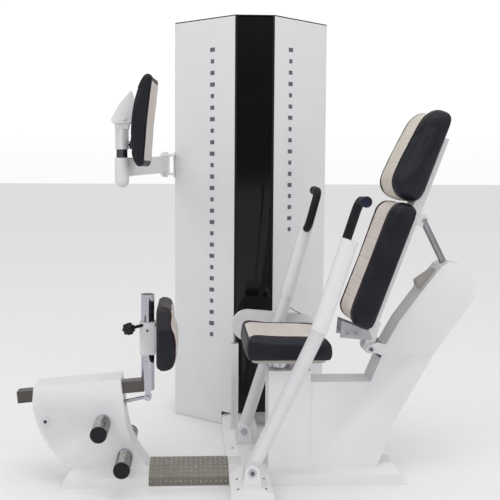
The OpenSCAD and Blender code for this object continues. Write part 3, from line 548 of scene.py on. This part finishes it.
pad("head_pad", "headrest_cushion", "backrest", basis(back0 + up_b * 0.677, up_b, Y, out_b),
    (0.350, 0.272, 0.106), (0.046, 0.060, 0.040), 0.082, tucks=(-0.06, 0.04), panel="cream2",
    piping="dark_piping",
    cap=0.006, taper=head_shape)


def knee_shape(c):
    # thin upper half, then a bolster that swells forward below
    k = 1 / (1 + math.exp(-(0.034 - c.x) / 0.008))
    return Vector((c.x, c.y, c.z * (0.80 + 0.22 * k * max(0.0, math.cos((c.x + 0.03) / 0.085)))))


pad("knee_bolster", "knee_pad", "knee", basis((-0.3435, 0, 0.561), Z, Y, X), (0.240, 0.252, 0.070),
    (0.026, 0.036, 0.022), 0.104, cap=0.006, taper=knee_shape, upper=0.036, capped=True)
tilt = math.radians(5.6)
turn = Matrix.Rotation(math.radians(-5), 3, "Z")
pad("chest_bolster", "chest_pad", "chest_rest",
    basis((-0.4235, 0, 1.357), Vector((math.sin(tilt), 0, math.cos(tilt))), turn @ Y,
          Vector((math.cos(tilt), 0, -math.sin(tilt)))), (0.342, 0.204, 0.056), (0.010, 0.030, 0.010), 0.088,
    piping="dark_piping", cap=0.004, ends="painted_sheen_leather",
    taper=lambda c: Vector((c.x, c.y, c.z + (0.056 - c.z) * 0.50 * (c.x / 0.169) ** 2)))


# ---------------------------------------------------------------- hard details
def lathe(profile, n=48):
    """A turned piece about +Z from (radius, z) pairs."""
    bm = bmesh.new()
    rings = []
    for r, z in profile:
        if r < 1e-6:
            rings.append([bm.verts.new((0, 0, z))])
        else:
            rings.append([bm.verts.new((r * math.cos(2 * math.pi * k / n),
                                        r * math.sin(2 * math.pi * k / n), z))
                          for k in range(n)])
    for a, b in zip(rings, rings[1:]):
        for k in range(n):
            q = (k + 1) % n
            if len(a) == 1:
                bm.faces.new((a[0], b[q], b[k]))
            elif len(b) == 1:
                bm.faces.new((a[k], a[q], b[0]))
            else:
                bm.faces.new((a[k], a[q], b[q], b[k]))
    bmesh.ops.recalc_face_normals(bm, faces=bm.faces[:])
    return bm


def aim(origin, d):
    return Matrix.Translation(origin) @ d.to_track_quat("Z", "Y").to_matrix().to_4x4()


# knurled foot pegs, one piece each side
def knurl(length, r, around=36, along=44):
    bm = bmesh.new()
    rings = []
    for i in range(along + 1):
        z = length * i / along
        ring = []
        for k in range(around):
            a = 2 * math.pi * k / around
            edge = i < 2 or i > along - 2
            lift = 0 if edge else (0.0007 if (i + k) % 2 else -0.0011)
            ring.append(bm.verts.new(((r + lift) * math.cos(a), (r + lift) * math.sin(a), z)))
        rings.append(ring)
    for a, b in zip(rings, rings[1:]):
        for k in range(around):
            q = (k + 1) % around
            bm.faces.new((a[k], a[q], b[q], b[k]))
    bm.faces.new(rings[0][::-1])
    bm.faces.new(rings[-1])
    return bm


pegs = bmesh.new()
caps = bmesh.new()
flats = bmesh.new()
lo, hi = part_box("foot_pegs")


def take(dst, src, m):
    bmesh.ops.transform(src, matrix=m, verts=src.verts)
    me = bpy.data.meshes.new("part")
    src.to_mesh(me)
    src.free()
    dst.from_mesh(me)
    bpy.data.meshes.remove(me)


for px, pz in ((-0.543, 0.239), (-0.462, 0.109)):
    for s in (-1, 1):
        d = Y * s
        take(flats, lathe([(0, 0), (0.0285, 0), (0.0285, 0.012), (0, 0.012)]),
             aim(Vector((px, s * 0.0565, pz)), d))
        take(pegs, knurl(0.122, 0.0292), aim(Vector((px, s * 0.0685, pz)), d))
        take(caps,
             lathe([(0, 0), (0.0296, 0), (0.0300, 0.001), (0.0300, 0.0055), (0.0275, 0.0078), (0.022, 0.0088),
                          (0.021, 0.0082), (0.010, 0.0092), (0, 0.0094)]),
             aim(Vector((px, s * 0.1906, pz)), d))
o = finish_mesh("peg_knurls", pegs, M["knurl"], "stand", smooth=False)
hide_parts("foot_pegs")
o = finish_mesh("peg_caps", caps, M["trim"], "stand", split=40)
o = finish_mesh("peg_collars", flats, M["chrome"], "stand", split=40)

# chequer bars on the tread
bm = bmesh.new()


def lozenge(dst, centre, along, across, normal, l=0.020, w=0.0062, h=0.0014):
    top = [along * (l / 2), across * (w / 2), -along * (l / 2), -across * (w / 2)]
    c0 = [dst.verts.new(centre + p - normal * 0.0004) for p in top]
    c1 = [dst.verts.new(centre + p * 0.55 + normal * h) for p in top]
    for k in range(4):
        q = (k + 1) % 4
        dst.faces.new((c0[k], c0[q], c1[q], c1[k]))
    dst.faces.new(c1)
    dst.faces.new(c0[::-1])


lo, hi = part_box("tread_plate")
half, side_z, top_half, top_z = 0.0945, 0.0406, 0.0406, hi.z
sx = math.hypot(half - top_half, top_z - side_z)
strips = [(Vector((0, 0, top_z)), Y, Z, 0.0812),
          (Vector((0, -(half + top_half) / 2, (side_z + top_z) / 2)),
           Vector((0, half - top_half, top_z - side_z)).normalized(),
           Vector((0, -(top_z - side_z), half - top_half)).normalized(), sx),
          (Vector((0, (half + top_half) / 2, (side_z + top_z) / 2)),
           Vector((0, half - top_half, -(top_z - side_z))).normalized(),
           Vector((0, top_z - side_z, half - top_half)).normalized(), sx),
          (Vector((0, -half, 0.0245)), Z, -Y, 0.030), (Vector((0, half, 0.0245)), Z, Y, 0.030)]
pitch = 0.0185
for c, across, nrm, wide in strips:
    nr = max(1, int(wide / pitch))
    ncol = int((hi.x - lo.x - 0.014) / pitch)
    for i in range(ncol + 1):
        for k in range(nr):
            off = (k - (nr - 1) / 2) * wide / nr
            x = lo.x + 0.008 + i * pitch
            if nrm.z > 0.1 and x > -0.078 and abs((c + across * off).y) < 0.03:
                continue
            a = 1 if (i + k) % 2 else -1
            al = (X + across * a).normalized()
            ac = nrm.cross(al)
            lozenge(bm, c + across * off + Vector((x, 0, 0)), al, ac, nrm)
bmesh.ops.recalc_face_normals(bm, faces=bm.faces[:])
finish_mesh("tread_chequer", bm, M["tread_bar"], "stand", smooth=False)


# column of small dark bars beside the window on both slanted faces
def bars(name, side, t, z0, z1, count):
    a = Vector((0.064 + side * 0.088, 0.540, 0))
    b = Vector((0.064 + side * 0.349, 0.739, 0))
    d = (b - a).normalized()
    nrm = Vector((d.y, -d.x, 0)) * (1 if d.x > 0 else -1)
    if nrm.y > 0:
        nrm = -nrm
    c = a + d * t
    bm = bmesh.new()
    step = (z1 - z0) / count
    for i in range(count):
        z = z0 + (i + 0.5) * step
        w = (0.018, 0.026, 0.022)[i % 3] / 2
        h = step * 0.18
        pts = [(-w, -h), (w, -h), (w, h), (-w, h)]
        f = [bm.verts.new(c + d * x + Vector((0, 0, z + y)) + nrm * 0.0010) for x, y in pts]
        g = [bm.verts.new(c + d * x + Vector((0, 0, z + y)) - nrm * 0.0006) for x, y in pts]
        bm.faces.new(f)
        bm.faces.new(g[::-1])
        for k in range(4):
            bm.faces.new((f[k], f[(k + 1) % 4], g[(k + 1) % 4], g[k]))
    bmesh.ops.recalc_face_normals(bm, faces=bm.faces[:])
    return finish_mesh(name, bm, M["bars"], "stand", smooth=False)


BARS = [(-1, 0.123, 0.39, 1.745, 26), (1, 0.101, 0.88, 1.745, 17)]
for i, (s, t, z0, z1, n) in enumerate(BARS):
    bars(f"bar_marks_{i + 1}", s, t, z0, z1, n)

# rounded end caps on the grips
for nm, side, lean, body in (("near", -1, 18.0, "near_arm"), ("far", 1, 15.0, "far_arm")):
    low = 22.5 if side < 0 else 19.5
    e = Vector((0.560 * math.sin(math.radians(low)), side * 0.315,
                0.114 + 0.560 * math.cos(math.radians(low))))
    a = math.radians(lean)
    zz = Vector((math.sin(a), 0, math.cos(a)))
    tip = e + zz * (0.328 - 0.026 + 0.128 + 0.034) + Y * side * (0.034 + 0.058 + 0.009 - 0.050)
    cap = lathe([(0, -0.004), (0.0178, -0.004), (0.0190, -0.0025), (0.0190, 0.001), (0.0176, 0.0026),
                 (0.0150, 0.0030),
                 (0.0140, 0.0018), (0.006, 0.0022), (0, 0.0024)], 40)
    bmesh.ops.transform(cap, matrix=aim(tip, Y * side), verts=cap.verts)
    finish_mesh(f"{nm}_grip_cap", cap, M["grip_cap"], body, split=45)

# tick marks on the knee post
def ticks(name, x, r, z0, z1, step, ang, body, w=0.010):
    bm = bmesh.new()
    z = z0
    i = 0
    while z < z1:
        half_w = (w if i % 5 == 0 else w * 0.6) / 2
        pts = []
        for k in range(7):
            a = ang + (k / 6 - 0.5) * 2 * half_w / r
            pts.append((math.cos(a), math.sin(a)))
        rows = [[bm.verts.new((x + (r + 0.0002) * c, (r + 0.0002) * s, z + dz)) for c,
                 s in pts] for dz in (0, 0.0012)]
        for k in range(6):
            bm.faces.new((rows[0][k], rows[0][k + 1], rows[1][k + 1], rows[1][k]))
        z += step
        i += 1
    return finish_mesh(name, bm, M["bars"], body)


ticks("knee_post_ticks", -0.380, 0.025, 0.395, 0.700, 0.0125, math.radians(-100), "sliding_tube")


def screws(name, spots, r, body, depth=0.0022):
    bm = bmesh.new()
    for p, d in spots:
        take(bm, lathe([(0, -0.001), (r, -0.001), (r, depth * 0.6), (r * 0.75, depth), (r * 0.35, depth),
                        (r * 0.3, depth * 0.4), (0, depth * 0.4)], 24), aim(Vector(p), Vector(d)))
    return finish_mesh(name, bm, M["screw"], body, split=40)


slope_n = Vector((-(0.064 - 0.044), 0, 0.052)).normalized()
screws("beam_screws", [((-0.049, y, 0.054), slope_n) for y in (-0.235, -0.150, 0.150)]
       + [((0.049, y, 0.054), (-slope_n.x, 0, slope_n.z)) for y in (-0.235, -0.150, 0.150)], 0.004, "stand")

screws("pivot_recesses", [((0, s * (0.206 + 0.040), 0.114), (0, s, 0)) for s in (-1, 1)]
       + [((0.458, s * 0.062, 0.507), (0, s, 0)) for s in (-1, 1)]
       + [((-0.755, s * 0.062, 0.243), (0, s, 0)) for s in (-1, 1)], 0.007, "stand")
screws("sleeve_screws", [((-0.380, -0.0295, 0.575), (0, -1, 0))], 0.005, "knee")

# the run of cable over the stack, as one straight tube; on the machine this run shortens as the stack rises
cable = nodes["stack_cable"]
low, high = ([f(getattr(cable.matrix_world @ v.co, k) for v in cable.data.vertices) for k in "xyz"]
             for f in (min, max))
mid_x, mid_y = (low[0] + high[0]) / 2, (low[1] + high[1]) / 2
run = finish_mesh("stack_cable_run", tube([Vector((mid_x, mid_y, low[2])), Vector((mid_x, mid_y, high[2]))],
                                          (high[0] - low[0]) / 2), M["steel"], "stand")
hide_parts("stack_cable")
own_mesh(run)

# ---------------------------------------------------------------- room, lights and camera
def plane(name, pts, mat):
    me = bpy.data.meshes.new(name)
    me.from_pydata(pts, [], [tuple(range(len(pts)))])
    o = bpy.data.objects.new(name, me)
    scene.collection.objects.link(o)
    me.materials.append(mat)
    return o


floor = material("pale_floor", (0.78, 0.78, 0.78), 0.45, vary=0.01, bump_scale=200, bump=0.03)
FAR = 60                 # m, far enough for the floor to end at the horizon
plane("floor", [(-FAR, -FAR, 0), (FAR, -FAR, 0), (FAR, FAR, 0), (-FAR, FAR, 0)], floor)

world = bpy.data.worlds.new("studio")
scene.world = world
world.use_nodes = True
wn = world.node_tree
tc = wn.nodes.new("ShaderNodeTexCoord")
sp = wn.nodes.new("ShaderNodeSeparateXYZ")
wn.links.new(tc.outputs["Generated"], sp.inputs["Vector"])


def sky(stops, strength):
    """A background that changes with height only."""
    ramp = wn.nodes.new("ShaderNodeValToRGB")
    e = ramp.color_ramp.elements
    e[0].position, e[0].color = stops[0][0], (*[stops[0][1]] * 3, 1)
    e[1].position, e[1].color = stops[-1][0], (*[stops[-1][1]] * 3, 1)
    for pos, val in stops[1:-1]:
        n = e.new(pos)
        n.color = (val, val, val, 1)
    wn.links.new(sp.outputs["Z"], ramp.inputs["Fac"])
    bg = wn.nodes.new("ShaderNodeBackground")
    bg.inputs["Strength"].default_value = strength
    wn.links.new(ramp.outputs["Color"], bg.inputs["Color"])
    return bg


open_sky = sky([(0.0, 0.93), (0.08, 0.99), (0.2, 1.0)], 1.04)
room = sky([(0.0, 0.10), (0.14, 0.16), (0.30, 0.55), (0.55, 0.95)], 0.95)
lp = wn.nodes.new("ShaderNodeLightPath")
mixer = wn.nodes.new("ShaderNodeMixShader")
wn.links.new(lp.outputs["Is Glossy Ray"], mixer.inputs[0])
wn.links.new(open_sky.outputs[0], mixer.inputs[1])
wn.links.new(room.outputs[0], mixer.inputs[2])
wn.nodes.remove(wn.nodes["Background"])
wn.links.new(mixer.outputs[0], wn.nodes["World Output"].inputs["Surface"])


def area(name, loc, target, size, power, size_y=None, color=(1, 1, 1)):
    l = bpy.data.lights.new(name, "AREA")
    l.energy = power
    l.size = size
    l.color = color
    if size_y:
        l.shape = "RECTANGLE"
        l.size_y = size_y
    o = bpy.data.objects.new(name, l)
    scene.collection.objects.link(o)
    o.location = loc
    o.rotation_euler = (Vector(target) - Vector(loc)).to_track_quat("-Z", "Y").to_euler()
    return o


area("key", (-2.6, -3.4, 3.2), (0, 0, 0.8), 2.0, 22, 1.2)
area("fill", (2.8, -3.0, 1.8), (0.2, 0, 0.7), 1.6, 8, 1.6)
area("top", (0.2, -1.0, 3.6), (0.1, 0.2, 0.8), 2.6, 16, 1.2)

yaw, pitch, roll = math.radians(2.32), math.radians(3.573), math.radians(0.249)
r = Vector((math.cos(yaw), -math.sin(yaw), 0))
fwd = Vector((math.sin(yaw), math.cos(yaw), 0))
f2 = fwd * math.cos(pitch) - Z * math.sin(pitch)
u2 = Z * math.cos(pitch) + fwd * math.sin(pitch)
r3 = r * math.cos(roll) + u2 * math.sin(roll)
u3 = u2 * math.cos(roll) - r * math.sin(roll)
cam = bpy.data.cameras.new("camera")
cam.sensor_width = 36
cam.lens = 36 * 735.212 / 500
cam.shift_x = (250 - 221.452) / 500
cam.shift_y = -(250 - 216.149) / 500
cam.clip_end = 100
co = bpy.data.objects.new("camera", cam)
scene.collection.objects.link(co)
co.matrix_world = basis((-0.21483, -2.7528, 1.17459), r3, u3, -f2)
scene.camera = co
scene.view_settings.view_transform = "Standard"
